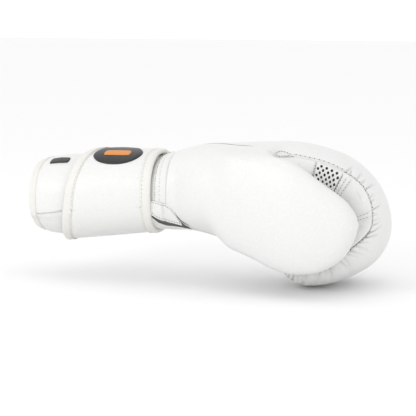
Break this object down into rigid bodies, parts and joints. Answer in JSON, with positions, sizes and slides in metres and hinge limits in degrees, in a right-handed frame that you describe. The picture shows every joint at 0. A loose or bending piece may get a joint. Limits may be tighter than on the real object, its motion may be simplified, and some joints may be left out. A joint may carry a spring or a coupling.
{
  "type": "boxing glove",
  "caption": "Left-hand padded training glove with a curled fist, attached thumb, long stiff cuff and a wide hook-and-loop wrist strap.",
  "frame": {"origin": "centre of the cuff mouth, where the hand goes in", "axes": "+X from the cuff mouth to the knuckles, +Z out of the back of the hand, thumb on the -Y side"},
  "size_m": [0.3431, 0.157, 0.1353],
  "materials": {
    "white_leather": "satin, fine grain",
    "binding_tape": "satin, folded and stitched",
    "lining_fabric": "soft woven",
    "padding_foam": "closed-cell foam",
    "grip_foam": "rolled dense foam",
    "vent_mesh": "satin, perforated",
    "hook_and_loop": "fuzzy loop and stiff hook",
    "black_rubber": "moulded, satin",
    "orange_rubber": "moulded, satin"
  },
  "bodies": {
    "hand": {"back_leather": "white_leather", "palm_leather": "white_leather", "hand_foam": "padding_foam", "hand_lining": "lining_fabric", "wrist_welt": "binding_tape", "wrist_gusset": "white_leather", "fist_leather": "white_leather", "grip_leather": "white_leather", "thumb_side_leather": "white_leather", "pinky_side_leather": "white_leather", "knuckle_foam_soft": "padding_foam", "knuckle_foam_firm": "padding_foam", "finger_foam": "padding_foam", "finger_lining": "lining_fabric", "grip_bar": "grip_foam", "vent_patch": "vent_mesh", "crotch_patch": "white_leather"},
    "thumb": {"thumb_leather": "white_leather", "thumb_foam": "padding_foam", "thumb_lining": "lining_fabric", "thumb_gusset": "white_leather"},
    "cuff": {"cuff_leather": "white_leather", "cuff_foam": "padding_foam", "cuff_lining": "lining_fabric", "mouth_binding": "binding_tape", "slit_binding_thumb_side": "binding_tape", "slit_binding_pinky_side": "binding_tape", "slit_gusset": "lining_fabric", "loop_patch": "hook_and_loop", "cuff_label": "black_rubber", "strap_root_leather": "white_leather", "strap_root_core": "padding_foam", "strap_root_backing": "lining_fabric", "strap_root_tapes": "binding_tape"},
    "strap_side": {"strap_side_leather": "white_leather", "strap_side_core": "padding_foam", "strap_side_backing": "lining_fabric", "strap_side_tapes": "binding_tape"},
    "strap_end": {"strap_end_leather": "white_leather", "strap_end_core": "padding_foam", "strap_end_backing": "lining_fabric", "strap_end_tapes": "binding_tape", "strap_tip_tape": "binding_tape", "hook_patch": "hook_and_loop", "badge_disc": "black_rubber", "badge_bar": "orange_rubber"}
  },
  "joints": [
    {"name": "wrist_flex", "type": "hinge", "parent": "hand", "child": "cuff", "pos_m": [0.1255, 0, 0.007], "axis": [0, 1, 0], "range_deg": [-8, 8], "stiffness_Nm_per_rad": 3, "deforming": ["wrist_gusset"]},
    {"name": "thumb_spread", "type": "hinge", "parent": "hand", "child": "thumb", "pos_m": [0.198, -0.045, 0], "axis": [0, 0, -1], "range_deg": [-1, 8], "stiffness_Nm_per_rad": 1.5, "deforming": ["thumb_gusset"]},
    {"name": "strap_open", "type": "hinge", "parent": "cuff", "child": "strap_side", "pos_m": [0.07382, -0.03743, -0.03022], "axis": [0.9947, 0.0327, 0.0978], "range_deg": [0, 75]},
    {"name": "strap_peel", "type": "hinge", "parent": "strap_side", "child": "strap_end", "pos_m": [0.07952, -0.04865, 0.02767], "axis": [0.9986, 0.046, 0.0275], "range_deg": [0, 70]}
  ]
}
